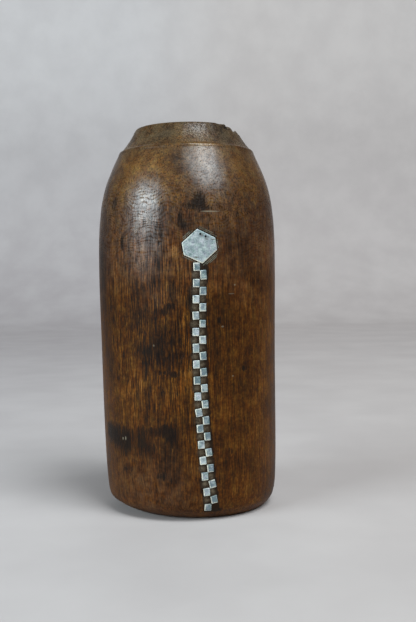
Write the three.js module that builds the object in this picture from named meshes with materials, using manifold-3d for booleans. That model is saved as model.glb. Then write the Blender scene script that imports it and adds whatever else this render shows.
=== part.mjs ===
// A wooden milk container, carved from one block and hollowed through its mouth.
// Its front is inlaid with a six-sided metal plate and, below it, a chequered strip of small metal tiles.
// Millimetres, +Z up. The origin is the middle of the foot, and the inlay faces -Y.
import * as THREE from "three";
import { mergeVertices } from "three/addons/utils/BufferGeometryUtils.js";
import Module from "manifold-3d";

// Overall form. A "drop" is a distance below the rim, an "inset" a distance inside the belly's radius.
const height = 230;
const bellyRadius = 54.3;
const bellyDrop = 74;
const footInset = 2.8;
const footRoundWidth = 12;
const footRoundHeight = 8.4;
const footSoftness = 0.25; // 0 is a straight chamfer and 0.55 a full round
const footShift = 5; // the foot's flat face lies this far towards +X, so its rounding is wider on the left
const lowerWallInset = 1.65;
const lowerWallHeight = 30;
const midWallInset = 0.7;
const midWallHeight = 95;
const shoulderInsets = [0.85, 2.6, 5.4, 8.7];
const shoulderDrops = [55, 42, 32, 24];
const sideBow = 0.9; // the carved block bends this far towards -X at half height

// The ridge at the root of the neck, the neck and the rim.
const ridgeRadius = 41;
const ridgeDrop = 14;
const ridgeBand = 2.4;
const ridgeBandStep = 1.1;
const grooveDepth = 1.1;
const grooveHeight = 0.6;
const neckRadius = 35.3;
const neckDrop = 8.6;
const rimRadius = 31.3;
const rimEdge = 0.5;

// The hollow.
const rimWall = 5;
const shoulderWall = 7;
const sideWall = 8;
const floorThickness = 14;
const floorFillet = 12;

// The piece broken off the rim's right side, as flat breaks: the way each faces, its slope and its depth.
const chipFacings = [52, 74, 97, 122];
const chipSlopes = [60, 52, 50, 56];
const chipDepths = [0.75, 2.7, 3.6, 2];
const chipCutterSide = 60;

// The six-sided plate.
const plateDrop = 73.3;
const plateSide = 7.3; // its middle lies this far to the right of the front line
const plateHeight = 19.6;
const plateWidth = 19.1;
const plateEdge = 6.9; // length of its two upright edges
const plateTurn = 8;
const plateThickness = 1.5;
const plateHoleRadius = 0.5;
const plateHoles = [
  [1.35, 6.65],
  [4.1, 4.9],
]; // sideways and upward from the plate's middle

// The chequered strip: two columns of tiles, staggered, along a line that drifts sideways as it descends.
const tileWidth = 3.5;
const tileHeight = 4.3;
const tileThickness = 1.2;
const tileSpacing = 0.26; // bare wood left between a tile and the next one down in the other column
const columnSpacing = 0.36;
const stripFootGap = 6;
const stripDrift = [0, -0.95, -0.7, 0.8, 3.6]; // at even steps down the strip
// How far each tile was set off true, in degrees, from the top down.
const tileTilts = [
  1, 3, -1, -2, 0, -1, 3, 0, -1, 0, 1, 4, 1, 3, 1, 4, 0, 4, 10, 5, 3, 4, 2, 7, 4, 3, 2, 12, 6, 11, 0,
];

const seatGap = 0.3; // between an inlaid piece and its pocket
const sides = 52; // facets round the body
const holeSides = 12;

const wasm = await Module();
wasm.setup();

const radians = THREE.MathUtils.degToRad;
const flat = (x, y) => new THREE.Vector2(x, y);

// A smooth line through [radius, height] knots, which doesn't overshoot where they lie far apart.
function smoothLine(knots, steps) {
  const raised = knots.map((knot) => new THREE.Vector3(knot.x, knot.y, 0));
  const curve = new THREE.CatmullRomCurve3(raised, false, "centripetal");
  return curve.getPoints(steps).map((point) => flat(point.x, point.y));
}

// The wall's outline from the foot's rounded edge up to the ridge, as [radius, height] points.
const ridgeHeight = height - ridgeDrop;
const footRadius = bellyRadius - footInset;
const wallKnots = [
  flat(footRadius, footRoundHeight),
  flat(bellyRadius - lowerWallInset, lowerWallHeight),
  flat(bellyRadius - midWallInset, midWallHeight),
  flat(bellyRadius, height - bellyDrop),
  ...shoulderInsets.map((inset, i) => flat(bellyRadius - inset, height - shoulderDrops[i])),
  flat(ridgeRadius + ridgeBandStep, ridgeHeight - ridgeBand),
];
const wallLine = smoothLine(wallKnots, 24);

function outerLine() {
  const foot = new THREE.CubicBezierCurve(
    flat(footRadius - footRoundWidth, 0),
    flat(footRadius - footRoundWidth * (1 - footSoftness), 0),
    flat(footRadius, footRoundHeight * (1 - footSoftness)),
    flat(footRadius, footRoundHeight),
  ).getPoints(6);
  const neck = new THREE.QuadraticBezierCurve(
    flat(ridgeRadius - grooveDepth, ridgeHeight + grooveHeight),
    flat(neckRadius, height - neckDrop),
    flat(rimRadius, height - rimEdge),
  ).getPoints(5);
  return [
    ...foot,
    ...wallLine.slice(1),
    flat(ridgeRadius, ridgeHeight),
    ...neck,
    flat(rimRadius - rimEdge, height),
  ];
}

// The hollow's outline from the mouth down to the middle of its floor.
function innerLine() {
  const mouthRadius = rimRadius - rimWall;
  const lowerRadius = bellyRadius - lowerWallInset - sideWall;
  const knots = [
    flat(mouthRadius, height - rimEdge),
    flat(neckRadius - shoulderWall, height - neckDrop),
    flat(ridgeRadius - shoulderWall, ridgeHeight - ridgeBand),
    flat(bellyRadius - shoulderInsets[2] - sideWall, height - shoulderDrops[2] - sideWall),
    flat(bellyRadius - sideWall, height - bellyDrop),
    flat(bellyRadius - midWallInset - sideWall, midWallHeight),
    flat(lowerRadius, floorThickness + floorFillet),
  ];
  const fillet = new THREE.EllipseCurve(
    lowerRadius - floorFillet,
    floorThickness + floorFillet,
    floorFillet,
    floorFillet,
    0,
    -Math.PI / 2,
    true,
  ).getPoints(4);
  return [
    flat(mouthRadius + rimEdge, height),
    ...smoothLine(knots, 18),
    ...fillet.slice(1),
    flat(0, floorThickness),
  ];
}

// Sideways bend of the block at a height, zero at the foot and at the rim.
function bowAt(z) {
  return -sideBow * Math.sin((Math.PI * z) / height);
}

// Sideways shift of the foot's rings: all of it on the flat face, none where the rounding meets the wall.
function footShiftAt(radius, z) {
  if (z >= footRoundHeight) return 0;
  return footShift * Math.min(1, (footRadius - radius) / footRoundWidth);
}

// Radius of the wall and its slope at a height, from the sampled outline.
function wallAt(z) {
  const last = wallLine.length - 2;
  let i = wallLine.findIndex((p, n) => n <= last && wallLine[n + 1].y >= z);
  if (i < 0) i = last;
  const [a, b] = [wallLine[i], wallLine[i + 1]];
  const share = (z - a.y) / (b.y - a.y);
  return { radius: a.x + share * (b.x - a.x), slope: Math.atan2(a.x - b.x, b.y - a.y) };
}

// A solid from a closed geometry, whose vertices are merged first.
function solidFrom(geometry) {
  const bare = geometry.clone();
  bare.deleteAttribute("normal");
  bare.deleteAttribute("uv");
  const merged = mergeVertices(bare, 1e-4);
  return new wasm.Manifold(
    new wasm.Mesh({
      numProp: 3,
      vertProperties: merged.attributes.position.array,
      triVerts: new Uint32Array(merged.index.array),
    }),
  );
}

function geometryFrom(solid) {
  const mesh = solid.getMesh();
  const geometry = new THREE.BufferGeometry();
  geometry.setAttribute("position", new THREE.BufferAttribute(mesh.vertProperties, 3));
  geometry.setIndex(new THREE.BufferAttribute(mesh.triVerts, 1));
  const faceted = geometry.toNonIndexed();
  faceted.computeVertexNormals();
  return faceted;
}

// Turns an outline round Z and bends it with the block.
function turned(outline) {
  const geometry = new THREE.LatheGeometry(outline, sides).rotateX(Math.PI / 2);
  const position = geometry.attributes.position;
  for (let i = 0; i < position.count; i++) {
    const z = position.getZ(i);
    const radius = Math.hypot(position.getX(i), position.getY(i));
    position.setX(i, position.getX(i) + bowAt(z) + footShiftAt(radius, z));
  }
  return solidFrom(geometry);
}

// A straight prism of a flat outline, on the wall at a height and a distance round from the front line.
// It runs from "inset" inside the wall to "outset" outside it, turned by "turn" degrees in its own plane.
function prismOnWall(outline, { round, z, turn, inset, outset }) {
  const { radius, slope } = wallAt(z);
  const angle = round / radius;
  const across = new THREE.Vector3(Math.cos(angle), Math.sin(angle), 0);
  const outward = new THREE.Vector3(
    Math.sin(angle) * Math.cos(slope),
    -Math.cos(angle) * Math.cos(slope),
    Math.sin(slope),
  );
  const upward = new THREE.Vector3().crossVectors(outward, across);
  const place = new THREE.Vector3(bowAt(z) + radius * Math.sin(angle), -radius * Math.cos(angle), z);
  const frame = new THREE.Matrix4()
    .makeBasis(across, upward, outward)
    .setPosition(place.addScaledVector(outward, -inset));
  const geometry = new THREE.ExtrudeGeometry(new THREE.Shape(outline), {
    depth: inset + outset,
    bevelEnabled: false,
  });
  return solidFrom(geometry.rotateZ(radians(turn)).applyMatrix4(frame));
}

// The plate's outline: top and bottom points, and two upright edges, grown by "extra" on every side.
function plateOutline(extra) {
  const halfWidth = plateWidth / 2;
  const halfHeight = plateHeight / 2;
  const halfEdge = plateEdge / 2;
  const slant = Math.hypot(halfWidth, halfHeight - halfEdge);
  const topExtra = (extra * slant) / halfWidth;
  const cornerExtra = (extra * (slant - (halfHeight - halfEdge))) / halfWidth;
  const corner = [halfWidth + extra, halfEdge + cornerExtra];
  const top = halfHeight + topExtra;
  return [
    flat(corner[0], -corner[1]),
    flat(corner[0], corner[1]),
    flat(0, top),
    flat(-corner[0], corner[1]),
    flat(-corner[0], -corner[1]),
    flat(0, -top),
  ];
}

function tileOutline(extra) {
  const x = tileWidth / 2 + extra;
  const y = tileHeight / 2 + extra;
  return [flat(-x, -y), flat(x, -y), flat(x, y), flat(-x, y)];
}

const proud = 4; // how far a cutter stands out of the wall
const solidBlock = turned([flat(0, 0), ...outerLine(), flat(0, height)]);
let body = turned([flat(0, 0), ...outerLine(), ...innerLine()]);

// Breaks the chip off the rim: each flat break is the underside of a large block laid on its slope.
for (let i = 0; i < chipFacings.length; i++) {
  const facing = radians(chipFacings[i]);
  const slope = radians(chipSlopes[i]);
  const normal = new THREE.Vector3(
    Math.sin(facing) * Math.cos(slope),
    -Math.cos(facing) * Math.cos(slope),
    Math.sin(slope),
  );
  const rimPoint = new THREE.Vector3(rimRadius * Math.sin(facing), -rimRadius * Math.cos(facing), height);
  const cutter = new THREE.BoxGeometry(chipCutterSide, chipCutterSide, chipCutterSide);
  const turn = new THREE.Quaternion().setFromUnitVectors(new THREE.Vector3(0, 0, 1), normal);
  const middle = rimPoint.addScaledVector(normal, chipCutterSide / 2 - chipDepths[i]);
  cutter.applyQuaternion(turn).translate(middle.x, middle.y, middle.z);
  body = body.subtract(solidFrom(cutter));
}

// Lets an inlaid piece into the body: cuts its pocket, and returns the piece, flush with the wall.
function inlay(outlineOf, place, thickness) {
  const pocket = prismOnWall(outlineOf(seatGap), { ...place, inset: thickness + seatGap, outset: proud });
  body = body.subtract(pocket);
  const blank = prismOnWall(outlineOf(0), { ...place, inset: thickness, outset: proud });
  return blank.intersect(solidBlock);
}

const platePlace = { round: plateSide, z: height - plateDrop, turn: plateTurn };
let plate = inlay(plateOutline, platePlace, plateThickness);
const punch = { ...platePlace, inset: plateThickness + seatGap, outset: proud };
for (const [across, up] of plateHoles) {
  const circle = new THREE.EllipseCurve(across, up, plateHoleRadius, plateHoleRadius);
  plate = plate.subtract(prismOnWall(circle.getPoints(holeSides).slice(1), punch));
}

// The height of the plate's lower edge over a place beside its middle, from its turned corners.
function plateUnderside(side) {
  const turned = plateOutline(0).map((p) => p.clone().rotateAround(flat(0, 0), radians(plateTurn)));
  const crossings = [];
  turned.forEach((a, i) => {
    const b = turned[(i + 1) % turned.length];
    if ((a.x - side) * (b.x - side) <= 0 && a.x !== b.x) {
      crossings.push(a.y + ((side - a.x) / (b.x - a.x)) * (b.y - a.y));
    }
  });
  return height - plateDrop + Math.min(...crossings);
}

// Sideways drift of the strip at a share of its length, through the stated steps.
const drift = new THREE.SplineCurve(stripDrift.map((side, i) => flat(i / (stripDrift.length - 1), side)));
const columnOffset = (tileWidth + columnSpacing) / 2;
const tilePitch = tileHeight + tileSpacing;
const firstTileHeight = plateUnderside(-columnOffset + tileWidth / 2) - seatGap - tileHeight / 2;
const stripLength = firstTileHeight - stripFootGap - tileHeight / 2;
const tileCount = 1 + Math.floor(stripLength / tilePitch);

const tiles = [];
for (let i = 0; i < tileCount; i++) {
  const column = i % 2 === 0 ? -1 : 1;
  const side = plateSide + drift.getPoint(i / (tileCount - 1)).y;
  const place = {
    round: side + column * columnOffset,
    z: firstTileHeight - i * tilePitch,
    turn: tileTilts[i % tileTilts.length],
  };
  tiles.push(inlay(tileOutline, place, tileThickness));
}

const wood = new THREE.MeshStandardMaterial({ color: 0x4f2f16, roughness: 0.42, metalness: 0 });
const metal = new THREE.MeshStandardMaterial({ color: 0xa9b4b2, roughness: 0.45, metalness: 0.9 });

function named(name, solid, material) {
  const mesh = new THREE.Mesh(geometryFrom(solid), material.clone());
  mesh.name = name;
  return mesh;
}

const container = new THREE.Group();
container.add(named("vessel_body", body, wood));
container.add(named("six_sided_plate", plate, metal));
tiles.forEach((tile, i) => {
  const column = i % 2 === 0 ? "left" : "right";
  container.add(named(`tile_${String(i + 1).padStart(2, "0")}_${column}`, tile, metal));
});

export default container;
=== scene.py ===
# A milk container carved from one block of dark hardwood.
# Its front is inlaid with a metal plate and a strip of tiles.
# Sizes are millimetres and angles are degrees unless a name says otherwise. Meshes are written in metres.
# The front faces -Y. An azimuth is measured from the front towards +X, and "round" is a distance that way.
import math

import bpy
import numpy as np
from mathutils import Matrix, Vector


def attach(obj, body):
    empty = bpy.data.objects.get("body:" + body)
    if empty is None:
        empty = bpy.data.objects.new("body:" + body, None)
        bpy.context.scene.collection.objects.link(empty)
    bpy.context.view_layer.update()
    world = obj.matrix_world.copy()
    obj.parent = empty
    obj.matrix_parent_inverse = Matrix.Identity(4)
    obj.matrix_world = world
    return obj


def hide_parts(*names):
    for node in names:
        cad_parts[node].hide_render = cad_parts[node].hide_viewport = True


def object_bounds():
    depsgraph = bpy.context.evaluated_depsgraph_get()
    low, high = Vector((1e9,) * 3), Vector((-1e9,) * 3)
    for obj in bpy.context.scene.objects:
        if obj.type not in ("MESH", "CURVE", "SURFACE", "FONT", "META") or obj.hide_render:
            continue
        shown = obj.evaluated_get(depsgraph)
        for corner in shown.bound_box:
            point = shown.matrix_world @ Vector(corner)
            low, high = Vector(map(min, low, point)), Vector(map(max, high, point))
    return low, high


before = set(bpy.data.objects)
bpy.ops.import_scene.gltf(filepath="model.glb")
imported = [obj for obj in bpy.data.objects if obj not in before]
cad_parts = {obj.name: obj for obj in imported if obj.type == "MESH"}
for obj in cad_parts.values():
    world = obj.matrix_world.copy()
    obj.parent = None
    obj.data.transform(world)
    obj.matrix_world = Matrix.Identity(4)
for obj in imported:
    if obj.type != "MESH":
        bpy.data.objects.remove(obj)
cad_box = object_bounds()

MM = 0.001
TAU = 2 * math.pi
BODY = "vessel_body"
PLATE = "six_sided_plate"
TILES = sorted(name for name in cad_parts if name.startswith("tile_"))

# Camera: the place and turn that put the block where the photograph has it.
camera_distance = 536.5
camera_height = 138.3
camera_turn = 1.24
camera_tilt = 2.12
camera_roll = -0.97
camera_lens = 50
camera_sensor = 36

# Fineness of the body's grid. Its columns are closer together over the inlay, and its rows over the ridge.
front_reach = 20
front_step = 0.65
column_step = 1.45
foot_step = 0.8
wall_step = 1.05
ridge_step = 0.3
neck_step = 0.7
rim_step = 0.5
hollow_step = 5.5
floor_step = 4
smoothing_rounds = 20
handled_rim_rows = 4

# Heights of the carving, and the body's largest radius.
rim_height = cad_box[1][2] / MM
ridge_height = rim_height - 14
ridge_foot = rim_height - 18
neck_foot = rim_height - 12.5
foot_top = 8.4
front_radius = cad_box[1][1] / MM

# Depths that the knife and wear have left, all inwards from the outline, and how far their waves swing.
carved_depth = 0.07
scraped_depth = 0.03
wrinkled_depth = 0.08
gouged_depth = 0.45
wave_reach = 2.4

# How far below the rim the gouge marks begin and where they have their full depth.
gouge_fade = (1, 9)

# The ridge's bead, which stands out: its rise, its height, the slope below it and the azimuth of its middle.
bead_rise = 0.14
bead_height = 0.9
bead_slope = 0.9
bead_middle_radians = 0.3

# The body's finishes, by their places among its materials.
HANDLED = 0
BROKEN = 1
HOLLOW = 2

# Single dents: distance round from the front line, height, half width, half height and depth.
dents = (
    (18, 114, 0.8, 2.2, 0.7),
    (-4.4, 95.5, 1.0, 1.0, 0.7),
    (-14.6, 163.2, 0.6, 0.9, 0.2),
    (-16, 158.8, 0.6, 0.8, 0.2),
    (-14.2, 86, 0.7, 0.9, 0.3),
    (-17, 86, 0.7, 0.9, 0.3),
    (-46, 46.5, 2.2, 1.6, 0.3),
    (37, 88, 2.5, 4.0, 0.2),
    (96, 140, 2.4, 6.0, 0.5),
    (-118, 84, 3.0, 4.0, 0.5),
    (150, 60, 2.2, 9.0, 0.45),
)

# The break in the rim, as in the solid: the way each flat faces, its slope, and its depth at a radius.
break_facings = (52, 74, 97, 122)
break_slopes = (60, 52, 50, 56)
break_depths = (0.75, 2.7, 3.6, 2.0)
break_radius = 31.3
break_roughness = 0.34
break_wavelengths = np.geomspace(1.5, 8, 14)


def corners_of(node):
    """The corners of a CAD node's triangles in millimetres: an array of triangle, corner, coordinate."""
    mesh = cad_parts[node].data
    place = np.empty(len(mesh.vertices) * 3, np.float32)
    mesh.vertices.foreach_get("co", place)
    mesh.calc_loop_triangles()
    index = np.empty(len(mesh.loop_triangles) * 3, np.int32)
    mesh.loop_triangles.foreach_get("vertices", index)
    return place.reshape(-1, 3)[index].reshape(-1, 3, 3).astype(float) / MM


def facing_of(triangles):
    """Unit normals: the cross product of two edges of each triangle, divided by its length."""
    cross = np.cross(triangles[:, 1] - triangles[:, 0], triangles[:, 2] - triangles[:, 0])
    return cross / np.linalg.norm(cross, axis=1, keepdims=True)


def outline_of(node, side):
    """Radius, height and sideways place of a turned node's rings, from the bottom up.

    They are read where its surface crosses the +Y half plane: at each height, the point farthest out there.
    Side 1 reads its outside and side -1 its hollow."""
    triangles = corners_of(node)
    middle = triangles.mean(1)
    near = (np.abs(middle[:, 0]) < 6) & (middle[:, 1] > 0) & (facing_of(triangles)[:, 1] * side > 0.05)
    points = triangles[near].reshape(-1, 3)
    level = np.unique(points[:, 2].round(2), return_inverse=True)[1]
    order = np.lexsort((points[:, 1], level))
    farthest = points[order][np.append(np.diff(level[order]) > 0, True)]
    return farthest[:, 1], farthest[:, 2], farthest[:, 0]


def through(knots, values, at):
    """Cubic Hermite curve through values at knots. Each knot's slope is the harmonic mean of the slopes
    beside it, or zero at a turning point, so the curve never overshoots."""
    step = np.diff(knots)
    slope = np.diff(values) / step
    product = slope[:-1] * slope[1:]
    total = slope[:-1] + slope[1:]
    inner = np.where(product > 0, 2 * product / np.where(total == 0, 1, total), 0)
    tangent = np.concatenate([slope[:1], inner, slope[-1:]])
    i = np.clip(np.searchsorted(knots, at, side="right") - 1, 0, len(step) - 1)
    t = (at - knots[i]) / step[i]
    rise = step[i] * ((t - 2 * t**2 + t**3) * tangent[i] + (t**3 - t**2) * tangent[i + 1])
    return values[i] + (3 * t**2 - 2 * t**3) * (values[i + 1] - values[i]) + rise


def ripple(azimuth, height, seed, waves, around, upright):
    """Uneven depth round 1: the sum of cosine waves, divided by the square root of their number and by how
    far that swings, is added to 1. Each has a seeded whole number of turns round the body, seeded radians for
    each millimetre of height and a seeded start."""
    rng = np.random.default_rng(seed)
    total = np.zeros(np.broadcast(azimuth, height).shape)
    for _ in range(waves):
        turns = rng.integers(*around)
        rise = rng.uniform(*upright)
        total += np.cos(turns * azimuth + rise * height + rng.uniform(0, TAU))
    return 1 + total / math.sqrt(waves) / wave_reach


def step_up(value, low, high):
    """Smooth step from 0 at low to 1 at high."""
    t = np.clip((value - low) / (high - low), 0, 1)
    return t * t * (3 - 2 * t)


def spots_at(azimuth, height, spots):
    """Sum of soft hills on the wall. Each is its amount times the exponential of minus the squared distance
    from its middle, measured in its half widths and half heights."""
    total = np.zeros(np.broadcast(azimuth, height).shape)
    for round_, level, half_width, half_height, amount in spots:
        turn = (azimuth - round_ / front_radius + math.pi) % TAU - math.pi
        away = (turn * front_radius / half_width) ** 2 + ((height - level) / half_height) ** 2
        total += amount * np.exp(-away)
    return total


def path_rows(radius, height, side, stretches):
    """Rows along a path through rings, as a smooth curve over its length. Each stretch of it runs up to a
    height and is cut into steps of about its own size."""
    length = np.concatenate([[0], np.cumsum(np.hypot(np.diff(radius), np.diff(height)))])
    at = [0.0]
    for level, step in stretches:
        end = float(np.interp(level, height, length))
        at.extend(np.linspace(at[-1], end, 1 + max(1, round((end - at[-1]) / step)))[1:])
    return tuple(through(length, part, np.array(at)) for part in (radius, height, side))


def smoothed(values, mask, rounds):
    """Evens values out along the rows inside the mask: each round takes a quarter of both neighbours."""
    for _ in range(rounds):
        even = (np.roll(values, 1) + 2 * values + np.roll(values, -1)) / 4
        values = values + mask * (even - values)
    return values


def body_path():
    """Radius, height and sideways place of every row of the body's grid, and the rows that are the wall. The
    rows run from the middle of the foot up the wall, over the rim and down to the middle of the hollow's
    floor. The wall's radii are evened out, and those over the foot's edge a second time."""
    wall = path_rows(*outline_of(BODY, 1), [
        (foot_top, foot_step),
        (ridge_foot, wall_step),
        (neck_foot, ridge_step),
        (rim_height, neck_step),
    ])
    even = step_up(wall[1], 1, foot_top - 3) * step_up(-wall[1], -ridge_foot, 4 - ridge_foot)
    foot_edge = step_up(wall[1], 0.5, 3) * (1 - step_up(wall[1], foot_top + 5, foot_top + 12))
    evened = smoothed(smoothed(wall[0], even, smoothing_rounds), foot_edge, smoothing_rounds)
    wall = (evened, *wall[1:])
    radius, height, side = (part[::-1] for part in outline_of(BODY, -1))
    depth = rim_height - height
    hollow = path_rows(radius, depth, side, [(depth[-1], hollow_step)])
    foot = np.arange(0, wall[0][0], floor_step)[:-1]
    rim = np.arange(wall[0][-1], hollow[0][0], -rim_step)[1:]
    floor = np.arange(hollow[0][-1], 0, -floor_step)[1:-1]
    radius = np.concatenate([foot, wall[0], rim, hollow[0], floor, [0]])
    bottom = np.full(len(floor) + 1, rim_height - hollow[1][-1])
    height = np.concatenate([foot * 0, wall[1], rim * 0 + rim_height, rim_height - hollow[1], bottom])
    bottom_side = np.full(len(floor) + 1, hollow[2][-1])
    side = np.concatenate([foot * 0 + wall[2][0], wall[2], rim * 0, hollow[2], bottom_side])
    return radius, height, side, slice(len(foot), len(foot) + len(wall[0]))


row_radius, row_height, row_side, wall_rows = body_path()


def column_azimuths():
    """Azimuths of the grid's columns: fine steps over the inlay in front and wider steps round the rest."""
    reach = front_reach / front_radius
    front = np.linspace(-reach, reach, 1 + round(2 * front_reach / front_step))
    rest = np.linspace(reach, TAU - reach, 1 + round((TAU - 2 * reach) * front_radius / column_step))
    return np.concatenate([front, rest[1:-1]])


def bead_on(azimuth, height):
    """The ridge's bead: a flat-topped band under the ridge, worn nearly away but for a stretch in front."""
    band = step_up(height, ridge_height - bead_height - bead_slope, ridge_height - bead_height)
    band = band * (1 - step_up(height, ridge_height - 0.1, ridge_height + 0.4))
    kept = 0.04 + 0.96 * np.exp((np.cos(azimuth - bead_middle_radians) - 1) / 0.12)
    return bead_rise * band * kept


def wall_depth(azimuth, height):
    """How far the finished wall lies inside its outline: the sum of long carved flats, upright scraping,
    single dents and fine wrinkles on the shoulder, less the ridge's bead."""
    flats = ripple(azimuth, height, 11, 12, (2, 9), (-0.09, 0.09))
    scraped = ripple(azimuth, height, 12, 16, (14, 60), (-0.03, 0.03))
    wrinkled = ripple(azimuth, height, 13, 24, (10, 36), (-0.6, 0.6))
    depth = carved_depth * flats + scraped_depth * scraped + spots_at(azimuth, height, dents)
    depth = depth + wrinkled_depth * wrinkled * step_up(height, 140, 175)
    return np.maximum(depth, 0) - bead_on(azimuth, height)


def break_height(x, y):
    """Height of the break over a place: the lowest of the sloping flats there, roughened by seeded waves, of
    which every other one has sharp crests."""
    rough = np.zeros(x.shape)
    rng = np.random.default_rng(31)
    for number, wavelength in enumerate(break_wavelengths):
        turn = rng.uniform(0, TAU)
        along = TAU / wavelength * (x * math.cos(turn) + y * math.sin(turn)) + rng.uniform(0, TAU)
        wave = np.cos(along) if number % 2 else 1 - 2 * np.abs(np.cos(along / 2))
        rough += (wavelength / break_wavelengths[-1]) ** 0.7 * wave
    height = np.full(x.shape, np.inf)
    for facing, slope, depth in zip(np.radians(break_facings), np.radians(break_slopes), break_depths):
        normal = (np.sin(facing) * np.cos(slope), -np.cos(facing) * np.cos(slope), np.sin(slope))
        rim_point = (break_radius * np.sin(facing), -break_radius * np.cos(facing), rim_height)
        level = np.dot(normal, rim_point) - depth
        height = np.minimum(height, (level - normal[0] * x - normal[1] * y) / normal[2])
    return height + break_roughness * rough


def write_mesh(name, points, quads, triangles):
    """A new object from whole arrays: points in millimetres, then faces of four and of three corners."""
    mesh = bpy.data.meshes.new(name)
    corners = np.concatenate([quads.ravel(), triangles.ravel()]).astype(np.int32)
    starts = np.concatenate([np.arange(len(quads)) * 4, len(quads) * 4 + np.arange(len(triangles)) * 3])
    mesh.vertices.add(len(points))
    mesh.vertices.foreach_set("co", (points * MM).astype(np.float32).ravel())
    mesh.loops.add(len(corners))
    mesh.loops.foreach_set("vertex_index", corners)
    mesh.polygons.add(len(starts))
    mesh.polygons.foreach_set("loop_start", starts.astype(np.int32))
    mesh.update(calc_edges=True)
    piece = bpy.data.objects.new(name, mesh)
    bpy.context.scene.collection.objects.link(piece)
    return piece


def places_of(piece):
    """The points of a piece in millimetres, as one array."""
    place = np.empty(len(piece.data.vertices) * 3, np.float32)
    piece.data.vertices.foreach_get("co", place)
    return place.reshape(-1, 3).astype(float) / MM


def rings_to_piece(name, rings, first, last):
    """A closed piece from rings of points: each ring is joined to the next by four-cornered faces, and the
    first and last rings are joined to one point each by three-cornered faces. Rings run so that a ring's
    direction crossed with the way to the next ring points outwards."""
    rows, around = rings.shape[:2]
    points = np.concatenate([rings.reshape(-1, 3), [first], [last]])
    grid = np.arange(rows * around).reshape(rows, around)
    beside = np.roll(grid, -1, axis=1)
    quads = np.stack([grid[:-1], beside[:-1], beside[1:], grid[1:]], -1).reshape(-1, 4)
    start = np.stack([np.full(around, rows * around), beside[0], grid[0]], -1)
    end = np.stack([np.full(around, rows * around + 1), grid[-1], beside[-1]], -1)
    return write_mesh(name, points, quads, np.concatenate([start, end]))


def build_body(materials):
    """The body as a closed grid: each row of the outline carried round the block's bent middle line, moved
    in along the outline's normal by the depth that the knife took, and cut off by the break's uneven surface.
    The depth fades out near the middle of the foot and floor. The faces take the handled, broken or hollow
    wood, by their rows and by where the break cuts them."""
    azimuth = column_azimuths()
    along = np.gradient(row_radius), np.gradient(row_height)
    size = np.hypot(*along)
    outward, upward = (along[1] / size)[:, None], (-along[0] / size)[:, None]
    grid_azimuth, grid_height = np.meshgrid(azimuth, row_height)
    rows = np.arange(len(row_radius))[:, None]
    gouged = gouged_depth * ripple(grid_azimuth, grid_height, 21, 10, (9, 26), (-0.05, 0.05))
    gouged = gouged * step_up(rim_height - grid_height, *gouge_fade)
    depth = np.where(rows < wall_rows.stop, wall_depth(grid_azimuth, grid_height), gouged)
    depth *= step_up(row_radius, 2, 12)[:, None]
    radius = row_radius[:, None] - depth * outward
    x = row_side[:, None] + radius * np.sin(grid_azimuth)
    y = -radius * np.cos(grid_azimuth)
    z = grid_height - depth * upward
    cut = break_height(x, y)
    broken = (z > cut)[1:-1]
    points = np.stack([x, y, np.minimum(z, cut)], -1)
    body = rings_to_piece("carved_body", points[1:-1], points[0].mean(0), points[-1].mean(0))
    beside = np.roll(broken, -1, axis=1)
    handled = rows[1:-2] < wall_rows.stop + handled_rim_rows
    finish = np.tile(np.where(handled, HANDLED, HOLLOW), len(azimuth))
    finish[broken[1:] & broken[:-1] & beside[1:] & beside[:-1]] = BROKEN
    ends = [np.full(len(azimuth), end) for end in (HANDLED, HOLLOW)]
    finish = np.concatenate([finish.ravel(), *ends])
    for material in materials:
        body.data.materials.append(material)
    body.data.polygons.foreach_set("material_index", finish.astype(np.int32))
    return body


def seat_of(node):
    """Where an inlaid node sits: the middle of its flat back, the across, up and outward directions there,
    and the points of the back in that plane."""
    triangles = corners_of(node)
    facing = facing_of(triangles)
    middle = triangles.mean((0, 1))
    radial = np.array([middle[0], middle[1], 0]) / np.hypot(middle[0], middle[1])
    back = facing @ radial < -0.9
    outward = -facing[back].mean(0)
    outward /= np.linalg.norm(outward)
    across = np.cross([0, 0, 1], outward)
    across /= np.linalg.norm(across)
    upward = np.cross(outward, across)
    points = np.unique(triangles[back].reshape(-1, 3).round(3), axis=0)
    centre = (points.max(0) + points.min(0)) / 2
    flat = np.stack([(points - centre) @ across, (points - centre) @ upward], -1)
    return {"centre": centre, "across": across, "up": upward, "outward": outward, "points": flat}


def in_order(corners):
    """Corner points sorted by their angle round the middle, anticlockwise."""
    return corners[np.argsort(np.arctan2(corners[:, 1], corners[:, 0]))]


def edge_points(corners, shares):
    """Points along each edge of a closed outline, at the given shares of the edge's length."""
    following = np.roll(corners, -1, axis=0)
    shares = np.asarray(shares)[:, None]
    return (corners[:, None] * (1 - shares) + following[:, None] * shares).reshape(-1, 2)


def grown(outline, distance):
    """An outline enlarged about its middle so that its edges move out by a distance, on average."""
    beside = np.roll(outline, -1, axis=0)
    area = abs((outline[:, 0] * beside[:, 1] - outline[:, 1] * beside[:, 0]).sum()) / 2
    reach = 2 * area / np.linalg.norm(outline - beside, axis=1).sum()
    return outline * (1 + distance / reach)


def edge_distance(flat, corners):
    """Distance of points from the nearest edge of an outline, along the edges' inward normals, which edge
    that is, and those normals."""
    edge = np.roll(corners, -1, axis=0) - corners
    inward = np.stack([-edge[:, 1], edge[:, 0]], -1) / np.linalg.norm(edge, axis=1)[:, None]
    distance = ((flat[:, None] - corners[None]) * inward[None]).sum(-1)
    return distance.min(1), distance.argmin(1), inward


def on_seat(seat, flat, height):
    """Points of a seat's plane, raised along its outward direction by a height over its back."""
    in_plane = seat["centre"] + flat[..., :1] * seat["across"] + flat[..., 1:] * seat["up"]
    return in_plane + np.broadcast_to(height, flat.shape[:-1])[..., None] * seat["outward"]


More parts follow.
